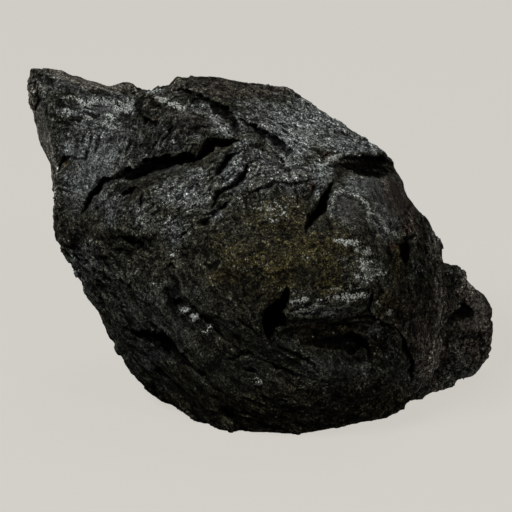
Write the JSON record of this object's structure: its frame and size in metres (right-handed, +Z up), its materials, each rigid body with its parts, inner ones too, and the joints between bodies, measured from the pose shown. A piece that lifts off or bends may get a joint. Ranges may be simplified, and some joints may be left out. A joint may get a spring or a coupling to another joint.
{
  "type": "gilsonite lump",
  "caption": "Hand-sized lump of black natural asphalt with shell-like breaks, a long cleft and stepped ledges, standing on a flat break.",
  "frame": {"origin": "middle of the lump's box, on the ground it stands on", "axes": "+Z up, +X along the lump's length to the lobe's side, -Y out of its broad front face"},
  "size_m": [0.118, 0.08, 0.0784],
  "materials": {
    "gilsonite": "glossy on fresh breaks, dull and grainy elsewhere"
  },
  "bodies": {
    "root": {"gilsonite_lump": "gilsonite"}
  },
  "joints": []
}
